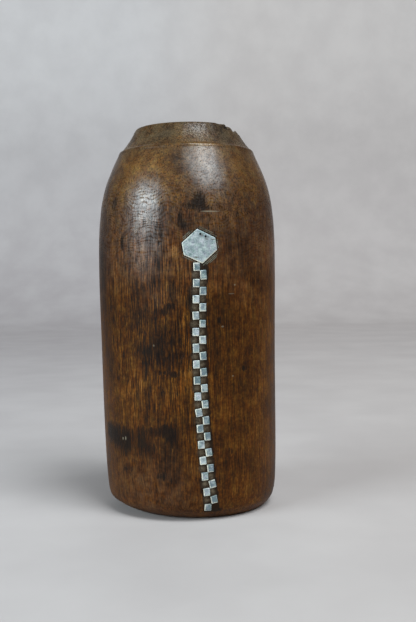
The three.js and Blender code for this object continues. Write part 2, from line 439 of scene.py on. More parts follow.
def wall_over(seat, flat):
    """Height of the finished wall over a seat's plane. The distance that is left to the wall's radius is
    added to it, four times over."""
    height = np.zeros(flat.shape[:-1])
    for _ in range(4):
        point = on_seat(seat, flat, height)
        side = np.interp(point[..., 2], row_height[wall_rows], row_side[wall_rows])
        azimuth = np.arctan2(point[..., 0] - side, -point[..., 1])
        radius = np.interp(point[..., 2], row_height[wall_rows], row_radius[wall_rows])
        radius = radius - wall_depth(azimuth, point[..., 2])
        height = height + radius - np.hypot(point[..., 0] - side, point[..., 1])
    return height


def inlaid_piece(name, seat, outline, insets, face, depth):
    """A closed inlaid piece. Its rings are the outline shrunk by each inset, from the middle of the face
    out, raised over the wall by the face's height there, and then the outline again at the back."""
    flat = np.stack([grown(outline, -inset) for inset in insets])
    middle = np.zeros(2)
    level = wall_over(seat, middle)
    rings = on_seat(seat, flat, wall_over(seat, flat) + face(flat, np.asarray(insets)[:, None]))
    rings = np.concatenate([rings, on_seat(seat, outline, level - depth)[None]])
    top = on_seat(seat, middle, level + face(middle, insets[0]))
    return rings_to_piece(name, rings[:, ::-1], top, on_seat(seat, middle, level - depth))


def pocket_cutter(name, seat, outline, low, high, material):
    """A straight closed block of an outline, from a low to a high distance over the wall at its middle."""
    level = wall_over(seat, np.zeros(2))
    rings = np.stack([on_seat(seat, outline, level + at) for at in (low, high)])
    piece = rings_to_piece(name, rings, *(on_seat(seat, np.zeros(2), level + at) for at in (low, high)))
    piece.data.materials.append(material)
    return piece


def groove_cutter(name, seat, start, end, width, depth, material):
    """A thin closed blade along a line on the wall: its rings are the line's two sides, at the wall's height
    less the depth and well above it."""
    along = np.linspace(0, 1, blade_points)[:, None]
    line = start * (1 - along) + end * along
    aside = np.array([start[1] - end[1], end[0] - start[0]]) / np.linalg.norm(end - start) * width / 2
    outline = np.concatenate([line - aside, line[::-1] + aside])
    middle = (start + end) / 2
    level = wall_over(seat, outline), wall_over(seat, middle)
    room = -depth, blade_top
    rings = np.stack([on_seat(seat, outline, level[0] + at) for at in room])
    piece = rings_to_piece(name, rings, *(on_seat(seat, middle, level[1] + at) for at in room))
    piece.data.materials.append(material)
    return piece


def carved(piece, cutters):
    """Cuts closed blocks out of a piece, one after another, and keeps the result as its mesh."""
    for tool in cutters:
        cut = piece.modifiers.new(tool.name, "BOOLEAN")
        cut.operation = "DIFFERENCE"
        cut.solver = "MANIFOLD"
        cut.material_mode = "TRANSFER"
        cut.object = tool
    result = bpy.data.meshes.new_from_object(piece.evaluated_get(bpy.context.evaluated_depsgraph_get()))
    piece.modifiers.clear()
    piece.data = result
    for tool in cutters:
        bpy.data.objects.remove(tool)


def write_mask(piece, name, values):
    """Stores one number for each point of a piece, which its material reads as an attribute."""
    mask = piece.data.attributes.new(name, "FLOAT", "POINT")
    mask.data.foreach_set("value", np.asarray(values, np.float32))


def finished(piece, sharp, nodes):
    """Smooths a piece's shading but for edges sharper than an angle, and puts it in place of its nodes."""
    piece.data.shade_smooth()
    piece.data.set_sharp_from_angle(angle=math.radians(sharp))
    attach(piece, "root")
    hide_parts(*nodes)


class Shader:
    """Builds a node tree: each method adds nodes, links or sets their inputs and returns one output."""

    def __init__(self, tree):
        self.tree = tree

    def fill(self, node, inputs, output):
        for key, value in inputs.items():
            if isinstance(value, bpy.types.NodeSocket):
                self.tree.links.new(value, node.inputs[key])
            else:
                node.inputs[key].default_value = value
        return node.outputs[output]

    def add(self, kind, inputs, output=0, **settings):
        node = self.tree.nodes.new(kind)
        for name, value in settings.items():
            setattr(node, name, value)
        return self.fill(node, inputs, output)

    def group(self, tree, inputs):
        node = self.tree.nodes.new("ShaderNodeGroup")
        node.node_tree = tree
        return self.fill(node, inputs, 0)

    def fibres(self, place, width, length, start):
        return self.group(GRAIN, {"Place": place, "Width": width, "Length": length, "Start": start})

    def patches(self, place, size, start):
        return self.group(PATCHES, {"Place": place, "Size": size, "Start": start})

    def math(self, operation, a, b=0.0):
        return self.add("ShaderNodeMath", {0: a, 1: b}, operation=operation)

    def product(self, a, b):
        return self.math("MULTIPLY", a, b)

    def product_and(self, a, b, more):
        """A product with one more value added to it."""
        return self.add("ShaderNodeMath", {0: a, 1: b, 2: more}, operation="MULTIPLY_ADD")

    def vector(self, operation, a, b):
        return self.add("ShaderNodeVectorMath", {0: a, 1: b}, operation=operation)

    def total(self, *parts):
        """Adds up values, each given as a value and its share."""
        value = 0.0
        for part, share in parts:
            value = self.product_and(part, share, value)
        return value

    def step(self, value, low, high):
        """Smooth step from 0 at low to 1 at high, or from 1 down to 0 where low is the higher of the two."""
        inputs = {"Value": value, "From Min": low, "From Max": high}
        return self.add("ShaderNodeMapRange", inputs, interpolation_type="SMOOTHSTEP")

    def noise(self, position, detail, roughness=0.5):
        inputs = {"Vector": position, "Scale": 1.0, "Detail": detail, "Roughness": roughness}
        return self.add("ShaderNodeTexNoise", inputs)

    def mix(self, share, a, b, blend="MIX"):
        return self.add("ShaderNodeMix", {0: share, 6: a, 7: b}, 2, data_type="RGBA", blend_type=blend)

    def ramp(self, value, stops):
        """Colour ramp through stops of place and colour."""
        output = self.add("ShaderNodeValToRGB", {0: value})
        marks = output.node.color_ramp.elements
        for number, (at, colour) in enumerate(stops):
            mark = marks[number] if number < 2 else marks.new(at)
            mark.position = at
            mark.color = colour
        return output

    def attribute(self, name):
        return self.add("ShaderNodeAttribute", {}, 2, attribute_name=name)

    def axes(self, place):
        """The three coordinates of a place."""
        return self.add("ShaderNodeSeparateXYZ", {0: place}).node.outputs

    def spot(self, place, centre, half_width, half_height):
        """A soft spot, as seen from the front: 1 in its middle and 0 past its half width and half height."""
        x, _, z = self.axes(place)
        across = self.math("DIVIDE", self.math("SUBTRACT", x, centre[0]), half_width)
        upright = self.math("DIVIDE", self.math("SUBTRACT", z, centre[1]), half_height)
        away = self.product_and(across, across, self.product(upright, upright))
        return self.step(away, 1.0, 0.15)

    def marked(self, colour, mark_colour, place, marks, mask):
        """A colour with soft spots of another over it, each as strong as its share times the mask."""
        for centre, half_width, half_height, share in marks:
            mark = self.product(self.spot(place, centre, half_width, half_height), mask)
            colour = self.mix(self.product(mark, share), colour, mark_colour)
        return colour


def paint(red, green, blue):
    """A colour as it is seen on a screen, from 0 to 255, as the linear colour that a material takes."""
    screen = np.array([red, green, blue]) / 255
    linear = np.where(screen <= 0.04045, screen / 12.92, ((screen + 0.055) / 1.055) ** 2.4)
    return (*linear.tolist(), 1.0)


def new_group(name, inputs, output):
    """An empty node group with its named inputs and one value to put out, and a shader to fill it."""
    tree = bpy.data.node_groups.new(name, "ShaderNodeTree")
    for socket, kind in inputs:
        tree.interface.new_socket(name=socket, in_out="INPUT", socket_type="NodeSocket" + kind)
    tree.interface.new_socket(name=output, in_out="OUTPUT", socket_type="NodeSocketFloat")
    given, result = tree.nodes.new("NodeGroupInput"), tree.nodes.new("NodeGroupOutput")
    return tree, Shader(tree), given.outputs, result.inputs[output]


def grain_group():
    """Upright wood fibres: noise on places divided by a fibre's width sideways and by its length upwards,
    with the middle of its range spread out over 0 to 1."""
    inputs = [("Place", "Vector"), ("Width", "Float"), ("Length", "Float"), ("Start", "Float")]
    tree, shader, given, result = new_group("grain", inputs, "Fibres")
    across = shader.math("DIVIDE", 1.0, given["Width"])
    upright = shader.math("DIVIDE", 1.0, given["Length"])
    scale = shader.add("ShaderNodeCombineXYZ", {0: across, 1: across, 2: upright})
    moved = shader.vector("ADD", shader.vector("MULTIPLY", given["Place"], scale), given["Start"])
    tree.links.new(shader.step(shader.noise(moved, 1.0), 0.28, 0.72), result)
    return tree


def patches_group():
    """Cloudy patches: noise on places divided by a size, with the middle of its range spread over 0 to 1."""
    inputs = [("Place", "Vector"), ("Size", "Float"), ("Start", "Float")]
    tree, shader, given, result = new_group("patches", inputs, "Patches")
    scale = shader.math("DIVIDE", 1.0, given["Size"])
    moved = shader.vector("ADD", shader.vector("MULTIPLY", given["Place"], scale), given["Start"])
    tree.links.new(shader.step(shader.noise(moved, 4.0, 0.55), 0.25, 0.75), result)
    return tree


GRAIN = grain_group()
PATCHES = patches_group()


def new_material(name):
    """A material with one Principled shader, a shader to fill its tree, and its place in millimetres."""
    material = bpy.data.materials.new(name)
    material.use_nodes = True
    shader = Shader(material.node_tree)
    where = shader.add("ShaderNodeTexCoord", {}, "Object")
    return material, shader, shader.vector("MULTIPLY", where, (1 / MM, 1 / MM, 1 / MM))


def dress(material, colour, roughness, height, depth, **others):
    """Links colour, roughness and a height to the Principled shader, and links or sets its other sockets.
    Those are named with _ for a space."""
    shader = Shader(material.node_tree)
    normal = shader.add("ShaderNodeBump", {"Height": height, "Distance": depth * MM, "Strength": 1.0})
    sockets = {name.replace("_", " "): value for name, value in others.items()}
    sockets |= {"Base Color": colour, "Roughness": roughness, "Normal": normal}
    shader.fill(material.node_tree.nodes["Principled BSDF"], sockets, 0)


# The strip of tiles: their middles, its sideways place at a height as a cubic, its ends and its half width.
tile_middles = np.array([corners_of(name).mean((0, 1)) for name in TILES])
strip_line = np.polyfit(tile_middles[:, 2], tile_middles[:, 0], 3)
strip_low = tile_middles[:, 2].min() - 2.5
strip_high = tile_middles[:, 2].max() + 2
strip_half_width = 4.1

# Wood colours, from the blackest stain to the palest fibre, and the dark ones that lie over them.
WOOD_COLOURS = (
    (0.0, paint(14, 12, 12)),
    (0.2, paint(34, 22, 12)),
    (0.4, paint(58, 35, 13)),
    (0.55, paint(78, 48, 15)),
    (0.7, paint(100, 64, 21)),
    (0.85, paint(120, 80, 31)),
    (1.0, paint(146, 103, 52)),
)
# Near black of the stains, also used for the painted shade in the dents.
STAIN_AND_SHADE_COLOUR = paint(18, 16, 15)
STREAK_COLOUR = paint(26, 21, 18)
PORE_COLOUR = paint(32, 20, 9)
STRIP_COLOUR = paint(27, 20, 14)
BARE_COLOUR = paint(108, 97, 80)
DUST_COLOUR = paint(84, 71, 51)
FOOT_DUST = paint(80, 58, 46)
MARK_COLOUR = paint(150, 142, 122)

# Pale scratches and chips on the front: place across and up, half width, half height and strength.
pale_marks = (
    ((12.5, 176.2), 6.5, 0.45, 0.5),
    ((24.0, 129.8), 2.2, 0.4, 0.25),
    ((26.0, 134.8), 0.6, 0.6, 0.4),
    ((-39.9, 46.4), 0.45, 1.1, 0.5),
    ((-38.2, 46.8), 0.45, 1.4, 0.6),
    ((24.1, 83.0), 0.8, 0.6, 0.25),
    ((-20.4, 101.3), 0.6, 0.8, 0.3),
    ((18.6, 111.4), 1.0, 0.6, 0.3),
)


def strip_mask(shader, place, ragged):
    """1 on the strip of tiles and 0 past its ends and its half width, by the height and the distance from
    its cubic line. Raggedness moves the sides, and the back of the body is left out."""
    x, y, z = shader.axes(place)
    line = 0.0
    for factor in strip_line:
        line = shader.product_and(line, z, float(factor))
    away = shader.math("ABSOLUTE", shader.math("SUBTRACT", x, line))
    away = shader.total((away, 1.0), (ragged, 1.4), (-0.7, 1.0))
    beside = shader.step(away, strip_half_width + 0.9, strip_half_width)
    above = shader.step(z, strip_low - 1, strip_low)
    below = shader.step(z, strip_high + 2, strip_high)
    front = shader.step(y, -30.0, -40.0)
    return shader.product(shader.product(beside, shader.product(above, below)), front)


def fine_cracks(shader, place, height):
    """Fine level cracks: the sine of a height that noise bends, broken up by finer noise. On the shoulder
    they are four times as strong."""
    shoulder = shader.product(shader.step(height, 135.0, 160.0), shader.step(height, 210.0, 182.0))
    arched = shader.noise(shader.vector("MULTIPLY", place, (0.06, 0.06, 0.05)), 1.2)
    crease = shader.math("SINE", shader.total((height, 3.2), (arched, 75.0)))
    scattered = shader.noise(shader.vector("MULTIPLY", place, (0.3, 0.3, 0.6)), 3.0, 0.6)
    crack = shader.step(shader.total((crease, 0.2), (scattered, 1.8), (-0.9, 1.0)), -0.05, 0.35)
    return shader.product(crack, shader.total((shoulder, 0.75), (0.25, 1.0)))


def wood_outside():
    """Handled hardwood. A level made of the painted tone, fibres of three sizes and patches reads a colour
    ramp. The colour is tinted here and there, and turns olive up the shoulder, from a height that wanders.
    Dark fibres, pores, flecks, dust, stains with painted shade in the dents, the strip's dirt, the paler
    squares and the pale marks lie over it. Fibres, cracks and pores give the relief. A polish covers the
    shoulder.
    Cracks, pores, flecks, dark fibres, stains, the dents' painted shade and dust take it away."""
    material, shader, place = new_material("handled_wood")
    wave = shader.add("ShaderNodeTexNoise", {"Vector": place, "Scale": 0.05, "Detail": 1.0}, 1)
    bent = shader.vector("ADD", place, shader.vector("MULTIPLY", wave, (1.8, 1.8, 0.0)))
    _, outward, height = shader.axes(place)
    masks = ("tone", "streaky", "stain_and_shade", "grey", "bare")
    tone, streaky, stain_and_shade, grey, bare = (shader.attribute(name) for name in masks)
    broad = shader.fibres(bent, 3.0, 45.0, 3.0)
    medium = shader.fibres(bent, 0.8, 24.0, 11.0)
    fine = shader.fibres(bent, 0.45, 10.0, 23.0)
    cloud = shader.patches(place, 24.0, 5.0)
    mottle = shader.patches(place, 5.0, 7.0)
    speckle = shader.patches(place, 1.5, 71.0)
    grain = shader.total((broad, 0.16), (medium, 0.26), (fine, 0.38), (-0.38, 1.0))
    blotches = shader.total((mottle, 0.22), (speckle, 0.2), (cloud, 0.24), (-0.33, 1.0))
    level = shader.total((tone, 1.0), (grain, shader.total((streaky, 0.7), (0.3, 1.0))), (blotches, 0.95))
    colour = shader.ramp(level, WOOD_COLOURS)
    tint = shader.total((mottle, 0.5), (shader.fibres(bent, 0.9, 16.0, 61.0), 0.5))
    tint = shader.mix(tint, (1.27, 0.93, 0.78, 1), (0.96, 1.05, 1.12, 1))
    colour = shader.mix(1.0, colour, tint, "MULTIPLY")
    climb = shader.total((height, 1.0), (cloud, 22.0), (mottle, 8.0), (-15.0, 1.0))
    colour = shader.mix(shader.step(climb, 156.0, 208.0), colour, (1.03, 1.2, 0.68, 1), "MULTIPLY")
    deep = shader.mix(streaky, PORE_COLOUR, STREAK_COLOUR)
    dark = shader.product(shader.step(shader.fibres(bent, 0.55, 10.0, 31.0), 0.55, 0.75), streaky)
    pores = shader.step(shader.fibres(bent, 0.45, 3.6, 47.0), 0.66, 0.9)
    rough_skin = shader.total((shader.step(climb, 145.0, 180.0), 0.45), (grey, 0.25))
    flecks = shader.product(shader.step(shader.patches(place, 0.8, 83.0), 0.56, 0.76), rough_skin)
    colour = shader.mix(shader.total((dark, 0.68), (pores, 0.4), (flecks, 1.0)), colour, deep)
    dust = shader.product(grey, shader.total((mottle, 0.7), (medium, 0.3), (-0.1, 1.0)))
    colour = shader.mix(dust, colour, shader.mix(shader.step(height, 60.0, 180.0), FOOT_DUST, DUST_COLOUR))
    ragged = shader.total((mottle, 0.5), (medium, 1.1), (fine, 0.7), (speckle, 0.5), (-1.4, 1.0))
    edge = shader.total((stain_and_shade, 1.0), (ragged, shader.step(stain_and_shade, 0.0, 0.5)))
    stain_and_shade_mask = shader.step(edge, 0.3, 0.7)
    colour = shader.mix(shader.product(stain_and_shade_mask, 0.86), colour, STAIN_AND_SHADE_COLOUR)
    colour = shader.mix(shader.product(strip_mask(shader, place, mottle), 0.88), colour, STRIP_COLOUR)
    colour = shader.mix(shader.product(bare, shader.total((speckle, 0.9), (0.15, 1.0))), colour, BARE_COLOUR)
    front = shader.step(outward, 0.0, -20.0)
    colour = shader.marked(colour, MARK_COLOUR, place, pale_marks, front)
    crack = fine_cracks(shader, place, height)
    relief = shader.total((shader.product(fine, 0.5), streaky), (shader.product(medium, 0.3), streaky),
                          (crack, -0.1), (pores, -0.3))
    roughness = shader.total((fine, 0.08), (mottle, 0.1), (grey, 0.1), (0.34, 1.0))
    gloss = shader.total((mottle, 0.4), (shader.product(fine, 0.8), streaky), (0.5, 1.0))
    dulled = shader.total((crack, 0.6), (pores, 0.2), (flecks, 0.7), (dark, 0.6), (stain_and_shade_mask, 0.6),
                          (grey, 0.45))
    kept = shader.math("MAXIMUM", shader.math("SUBTRACT", 1.0, dulled), 0.05)
    polish = shader.product(shader.product(shader.step(climb, 120.0, 190.0), gloss), kept)
    dress(material, colour, roughness, relief, 0.09, Coat_Weight=polish, Coat_Roughness=0.32,
          Coat_IOR=1.8, Specular_IOR_Level=0.08)
    return material


def wood_broken():
    """Raw wood in the break: dark with handling, but for pale fibres in places."""
    material, shader, place = new_material("broken_wood")
    fine = shader.fibres(place, 0.5, 3.0, 4.0)
    mottle = shader.patches(place, 3.0, 9.0)
    level = shader.total((fine, 0.4), (mottle, 0.6))
    stops = ((0.25, paint(48, 36, 24)), (0.65, paint(84, 67, 43)), (1.0, paint(150, 132, 98)))
    dress(material, shader.ramp(level, stops), shader.total((mottle, 0.2), (0.62, 1.0)), level, 0.2)
    return material


def wood_hollow():
    """The hollow's wood: sooty and dry, with gouged fibres and paler bloom."""
    material, shader, place = new_material("hollow_wood")
    fine = shader.fibres(place, 0.9, 16.0, 14.0)
    cloud = shader.patches(place, 14.0, 2.0)
    level = shader.total((fine, 0.4), (cloud, 0.6))
    stops = ((0.15, paint(24, 19, 16)), (0.55, paint(52, 38, 27)), (0.9, paint(92, 74, 54)))
    dress(material, shader.ramp(level, stops), shader.total((cloud, 0.2), (0.6, 1.0)), level, 0.3)
    return material


def dirt(name, dark, pale):
    """Dirt packed into a gap or groove, between two colours."""
    material, shader, place = new_material(name)
    mottle = shader.patches(place, 1.6, 6.0)
    colour = shader.ramp(mottle, ((0.2, dark), (0.8, pale)))
    dress(material, colour, shader.total((mottle, 0.1), (0.75, 1.0)), mottle, 0.1)
    return material


# Metal colours, and the plate's grime: place across and up, half width, half height and strength.
METAL_DARK = paint(109, 127, 132)
METAL_PALE = paint(203, 214, 213)
# The rims' near white: bare worn metal with a painted highlight.
METAL_WORN_AND_LIT = paint(238, 237, 220)
METAL_GRIME = paint(84, 76, 62)
plate_grime = (
    ((13.9, 160.4), 1.6, 0.5, 0.8),
    ((4.6, 150.6), 1.9, 0.6, 0.9),
    ((7.4, 162.9), 1.4, 1.3, 0.7),
    ((10.5, 161.3), 1.6, 1.6, 0.7),
)


def worn_metal(name, lift, grime_spots):
    """Soft grey metal. Clouds and slanted scratches run between a dull and a pale blue-grey, tinted in small
    patches. The rims are nearly white: worn bare, and brightened on the left and below as a painted
    highlight.
    Brown grime sits in the given spots."""
    material, shader, place = new_material(name)
    cloud = shader.patches(place, 3.2, 1.0)
    grit = shader.patches(place, 0.7, 8.0)
    slant = {"Vector": place, "Rotation": (0.0, 0.7, 0.0), "Scale": (0.3, 1.0, 2.6)}
    scratches = shader.step(shader.noise(shader.add("ShaderNodeMapping", slant), 1.0), 0.6, 0.72)
    shade = shader.attribute("shade")
    level = shader.total((cloud, 0.6), (grit, 0.35), (shade, 0.3), (scratches, 0.35), (lift, 1.0))
    colour = shader.ramp(level, ((0.1, METAL_DARK), (0.9, METAL_PALE)))
    tint = shader.mix(shader.patches(place, 1.8, 33.0), (1.05, 0.97, 1.06, 1), (0.93, 1.03, 0.97, 1))
    colour = shader.mix(1.0, colour, tint, "MULTIPLY")
    # The worn mask carries the rims' wear and their painted highlight.
    worn = shader.product(shader.attribute("worn"), shader.total((grit, 0.7), (cloud, 0.5), (0.35, 1.0)))
    colour = shader.mix(shader.step(worn, 0.1, 0.9), colour, METAL_WORN_AND_LIT)
    colour = shader.marked(colour, METAL_GRIME, place, grime_spots, shader.step(grit, 0.0, 0.6))
    roughness = shader.total((grit, 0.15), (scratches, -0.08), (0.4, 1.0))
    dress(material, colour, roughness, shader.total((grit, 1.0), (scratches, -0.6)), 0.03, Metallic=0.4)
    return material


# Painted masks on the wall: distance round, height, half width, half height and amount.
tone_spots = (
    (-28, 203, 17, 7, 0.14),
    (-3, 207, 8, 8, -0.1),
    (15, 215.4, 13, 0.8, 0.34),
    (-19, 224, 7, 6, -0.24),
    (-6, 223, 4, 6, 0.14),
    (37, 223, 8, 6, -0.22),
    (-6, 152, 7, 18, 0.14),
    (-6, 115, 6, 9, 0.05),
    (-3, 105, 5, 40, -0.06),
    (-14, 68, 9, 15, 0.08),
    (-44, 90, 20, 70, 0.07),
    (-30, 20, 26, 16, 0.06),
    (7, 156, 13, 13, -0.1),
    (-50, 182, 4, 6, -0.12),
    (-66, 140, 14, 40, -0.14),
    (-40, 150, 12, 14, -0.04),
    (-20, 122, 16, 9, -0.1),
    (-28, 98, 14, 9, -0.12),
    (-44, 84, 10, 9, -0.08),
    (-14, 95, 10, 60, -0.13),
    (-60, 110, 7, 80, -0.08),
    # Painted sheen: a paler upright band near the right-hand outline.
    (58, 105, 7, 70, 0.07),
    (-12, 38, 8, 22, -0.1),
    (37, 88, 6, 5, -0.14),
    (16, 90, 5, 6, -0.1),
    (-62, 66, 8, 14, 0.1),
    (20, 108, 6, 12, 0.04),
    (50, 192, 8, 7, 0.1),
    (44, 70, 16, 30, 0.05),
    (34, 110, 16, 60, -0.05),
    (-70, 90, 12, 60, -0.06),
    # Painted sheen: lighter wood under the ridge, to the right of the shoulder's highlight.
    (30, 200, 10, 10, 0.05),
    (-100, 180, 20, 12, 0.1),
    (150, 190, 26, 10, 0.12),
)
stain_and_shade_spots = (
    (8, 182, 3.2, 4.5, 1.7),
    (2, 180, 4, 2, 0.9),
    (12, 178, 4, 1.2, 0.6),
    (-3.5, 172, 1.6, 4, 1.2),
    (-1, 168, 2, 2, 1.0),
    (30, 175, 2, 2, 0.8),
    (-41, 160, 1.2, 4.5, 1.5),
    (-50, 183, 2.5, 3.5, 0.9),
    (-10, 123.5, 3, 1.8, 0.9),
    (-14, 120, 3, 1.8, 0.8),
    (-15, 106, 3, 8, 0.55),
    (-28, 98, 8, 6, 0.5),
    (-8.5, 85, 2.6, 1.6, 0.9),
    (1.9, 127, 1.5, 8, 1.0),
    # The next six lie in the dents listed above and darken them: painted shade in their hollows.
    (18.2, 115, 0.9, 2.6, 1.2),
    (-4.4, 95.5, 1.0, 1.3, 1.1),
    (-14.2, 86, 0.9, 1.1, 1.1),
    (-17, 86, 0.9, 1.1, 1.1),
    (-14.6, 163.2, 0.9, 1.4, 1.2),
    (-16, 158.8, 0.9, 1.3, 1.2),
    (-61, 48.5, 5, 5, 1.2),
    (-55, 48, 6, 5, 1.0),
    (-47, 44.5, 8, 7.5, 1.1),
    (-40, 48, 5, 5, 0.6),
    (-30, 47, 4, 8, 0.9),
    (-25.5, 42, 4, 5, 0.75),
    (-22, 52, 5, 2.4, 0.8),
    (-14.5, 53, 3, 3, 0.8),
    (-11, 50.5, 3.4, 5.5, 1.35),
    (46, 228, 9, 1.6, 0.8),
    (-17, 27, 5, 2.8, 0.6),
    (-11, 24, 2.5, 1.4, 0.8),
    (-42, 29, 4, 3, 0.75),
    (-27, 17, 4, 1.6, 0.4),
    (-38, 12, 5, 1.4, 0.45),
    (-30, 70, 20, 6, 0.25),
    (35, 87, 3, 2, 0.6),
    (22, 40, 5, 3, 0.4),
    (120, 120, 10, 16, 0.7),
    (-150, 90, 12, 20, 0.6),
    (140, 30, 24, 7, 1.0),
    (-110, 60, 9, 12, 0.6),
)
streak_spots = ((-25, 100, 34, 62, 1.0), (-5, 120, 14, 60, 0.3), (-150, 95, 50, 80, 0.8))
grey_spots = ((-28, 12, 30, 24, 0.8), (140, 14, 50, 18, 0.6))

# Plain values of the masks: the wood's tone and what the shoulder adds to it, how streaky the grain is away
# from its spots and what the ridge adds to that, and half the size of the squares' bare middles.
wood_tone = 0.5
shoulder_lift = 0.05
least_streaky = 0.25
ridge_streaky = 0.6
bare_half = 1.7


def paint_body(body):
    """Writes the body's masks: tone, stains with painted shade in the dents, how streaky the grain shows,
    greyness, and the paler middles of the squares that are left between the tiles."""
    x, y, height = places_of(body).T
    azimuth = np.arctan2(x - np.interp(height, row_height[wall_rows], row_side[wall_rows]), -y)
    tone = wood_tone + shoulder_lift * step_up(height, 165, 200)
    write_mask(body, "tone", tone + spots_at(azimuth, height, tone_spots))
    write_mask(body, "stain_and_shade", spots_at(azimuth, height, stain_and_shade_spots))
    streaky = least_streaky + (1 - least_streaky) * spots_at(azimuth, height, streak_spots)
    streaky = streaky * (1 - 0.75 * step_up(height, 178, 198))
    streaky = streaky + ridge_streaky * step_up(height, ridge_height, ridge_height + 2)
    write_mask(body, "streaky", np.clip(streaky, 0, 1))
    grey = step_up(height, ridge_height - 12, ridge_height + 9) + spots_at(azimuth, height, grey_spots)
    write_mask(body, "grey", np.clip(grey, 0, 1))
    squares = (tile_middles[:-2] + tile_middles[2:]) / 2
    spots = [(middle[0], middle[2], bare_half, bare_half, 1.0) for middle in squares]
    write_mask(body, "bare", spots_at(azimuth, height, spots))


# The tiles: points along each edge, rings of the face, and how much larger than the solid's the face is cut,
# in width and height, for most and for some odd ones. Then how far their corners wander and how deep their
# backs lie.
tile_shares = (0.05, 0.3, 0.5, 0.7, 0.95)
tile_insets = (1.3, 0.9, 0.6, 0.35, 0.18, 0.07, 0.0)
tile_cut = (1.05, 1.045)
odd_tiles = {2: (1.02, 1.2), 8: (0.98, 0.96), 11: (1.04, 1.18), 31: (1.1, 1.0)}
corner_wander = 0.1
tile_depth = 1.0

# The plate: how far out its corners lie at least, points along each edge, rings of the face and how deep its
# back lies. Then its holes: their places, in axes with a turn, and their size.
plate_reach = 8.5
plate_shares = np.linspace(0.02, 0.98, 13)
plate_insets = np.linspace(8, 0, 31)
plate_depth = 1.3
plate_turn = 8
hole_radius = 0.62
hole_depth = 0.9
hole_places = ((1.35, 6.65), (4.1, 4.9))
hole_corners = 12

# Pockets: the gap round each piece, the room under it, and how far over the wall the cutters stand.
tile_gap = 0.2
plate_gap = 0.4
pocket_room = 0.1
tile_cutter_top = 3
plate_cutter_top = 4
hole_cutter_top = 2
blade_top = 1
blade_points = 6

# How wide the worn rims with their painted highlight are, and the sharpest angles that are shaded smooth.
worn_reach = 0.8
inlay_sharp = 40
wood_sharp = 35

# Lines scribed round the plate: their width and depth, and then each one's edge of the plate, how far outside
# it runs, and from and to which share of the edge.
groove_width = 0.42
groove_depth = 0.2
scribed_lines = (
    (1, 0.95, -0.05, 1.02),
    (1, 1.75, 0.12, 0.9),
    (1, 2.5, 0.3, 0.8),
    (2, 0.9, 0.15, 0.85),
    (0, 0.95, 0.0, 0.9),
    (3, 1.0, -0.02, 1.0),
    (3, 1.8, 0.2, 0.95),
    (4, 1.0, 0.2, 0.85),
    (4, 1.8, 0.35, 0.8),
)


def tile_face(flat, inset):
    """Height of a tile's face over the wall: slightly dished, and worn down over the last 0.3 mm."""
    return 0.04 + 0.08 * (1 - step_up(inset, 0.3, 1.2)) - 0.16 * (1 - step_up(inset, 0, 0.3))


def plate_face(flat, inset):
    """Height of the plate's face over the wall: nearly flat, with a worn rim, a soft upright crease and a
    slope down to its upper right edge."""
    crease = 0.05 * np.exp(-((flat[..., 0] + 0.4) / 0.7) ** 2)
    slope = 0.07 * np.maximum(flat[..., 0] * 0.5 + flat[..., 1] * 0.87 - 5.6, 0)
    return 0.14 - crease - slope - 0.16 * (1 - step_up(inset, 0, 0.35))


def paint_metal(piece, seat, corners, rng):
    """Writes an inlaid piece's masks: how worn its rim is, brightened more on the left and below as a painted
    highlight, and its shade of grey.
    """
    place = places_of(piece) - seat["centre"]
    flat = np.stack([place @ seat["across"], place @ seat["up"]], -1)
    distance, edge, inward = edge_distance(flat, corners)
    # Painted highlight: the rims on the left and lower sides are made brighter.
    lit = 0.5 + 0.5 * inward @ (0.62, 0.5) + rng.uniform(-0.25, 0.25, len(inward))
    near = 1 - step_up(distance, worn_reach * 0.3, worn_reach)
    write_mask(piece, "worn", np.clip(lit, 0, 1)[edge] * near)
    write_mask(piece, "shade", np.full(len(place), rng.uniform(-1, 1)))


def build_tiles(metal, earth, rng):
    """The tiles, each in its seat, and the blocks that cut their pockets."""
    pockets = []
    for number, node in enumerate(TILES, 1):
        seat = seat_of(node)
        corners = in_order(seat["points"]) * odd_tiles.get(number, tile_cut)
        corners = corners + rng.uniform(-corner_wander, corner_wander, corners.shape)
        outline = edge_points(corners, tile_shares)
        tile = inlaid_piece("metal_" + node, seat, outline, tile_insets, tile_face, tile_depth)
        tile.data.materials.append(metal)
        paint_metal(tile, seat, corners, rng)
        finished(tile, inlay_sharp, [node])
        room = -tile_depth - pocket_room, tile_cutter_top
        pockets.append(pocket_cutter(node + "_pocket", seat, grown(outline, tile_gap), *room, earth))
    return pockets


